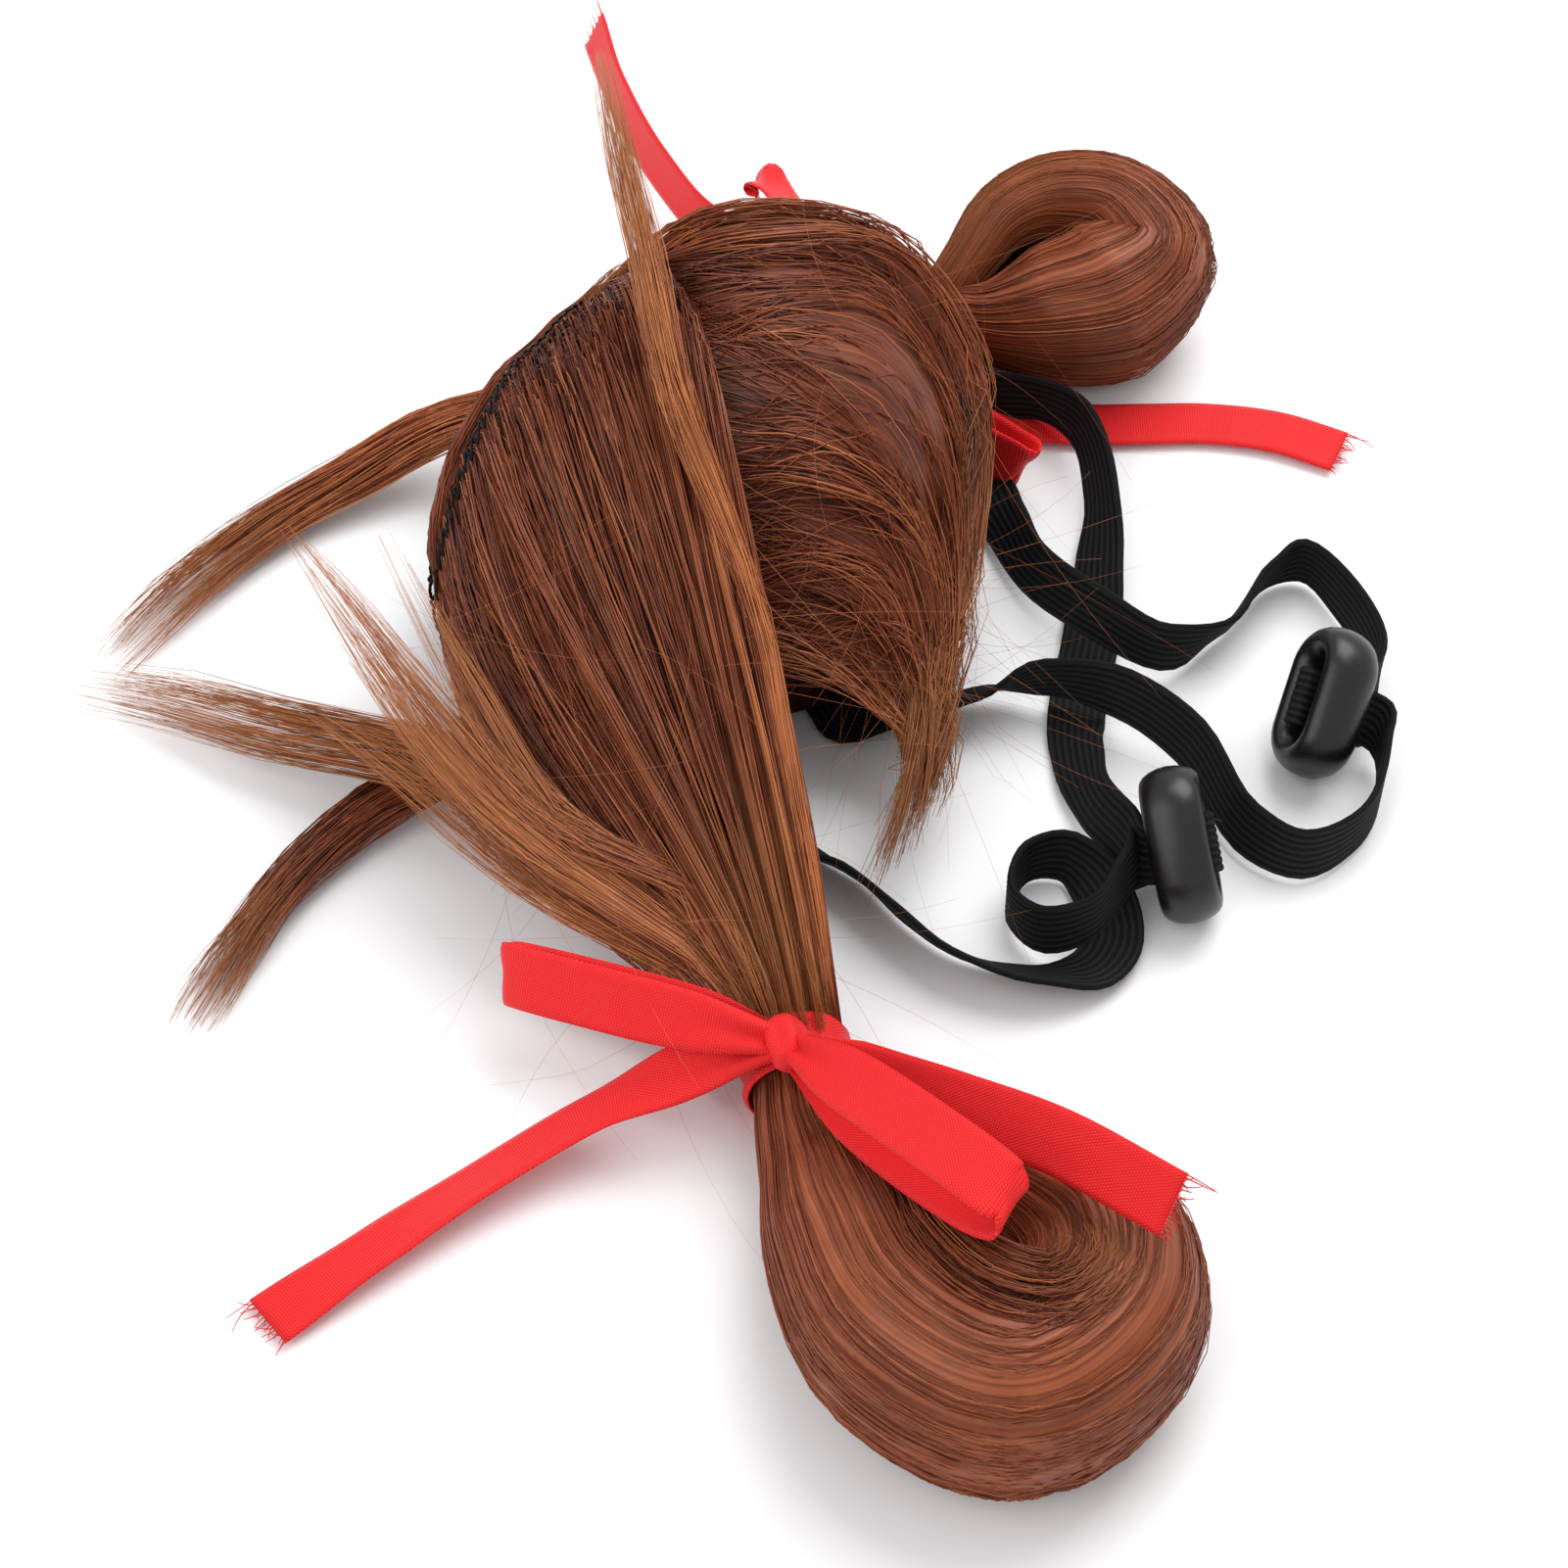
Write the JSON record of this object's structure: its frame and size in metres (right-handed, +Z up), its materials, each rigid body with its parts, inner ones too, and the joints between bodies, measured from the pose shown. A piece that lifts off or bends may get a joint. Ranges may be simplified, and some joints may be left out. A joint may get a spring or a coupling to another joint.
{
  "type": "dog wig",
  "caption": "Costume wig for a dog: cloth cap with a swept fringe, looped pigtails tied with ribbon bows, and elastic chin straps with oval sliders.",
  "frame": {"origin": "middle of the underside of the part's box, on the table it lies on", "axes": "+Z up from the table, +X towards the fringe, +Y from the near pigtail to the far one"},
  "size_m": [0.2266, 0.328, 0.0783],
  "materials": {
    "cap_cloth": "dark knitted cloth, matt",
    "hair": "brown synthetic hair, silky",
    "ribbon": "red woven ribbon, soft sheen",
    "elastic": "black ribbed elastic, matt",
    "ring_plastic": "black plastic, satin gloss"
  },
  "bodies": {
    "root": {"cap": "cap_cloth", "side_hair_near": "hair", "side_hair_far": "hair", "fringe": "hair", "tail_near": "hair", "tail_far": "hair", "nape_lock_far": "hair", "nape_lock_mid": "hair", "nape_lock_near": "hair", "crown_lock": "hair", "side_wisp": "hair", "bow_near": "ribbon", "bow_far": "ribbon", "strap_front": "elastic", "strap_rear": "elastic", "ring_front": "ring_plastic", "ring_rear": "ring_plastic"}
  },
  "joints": []
}
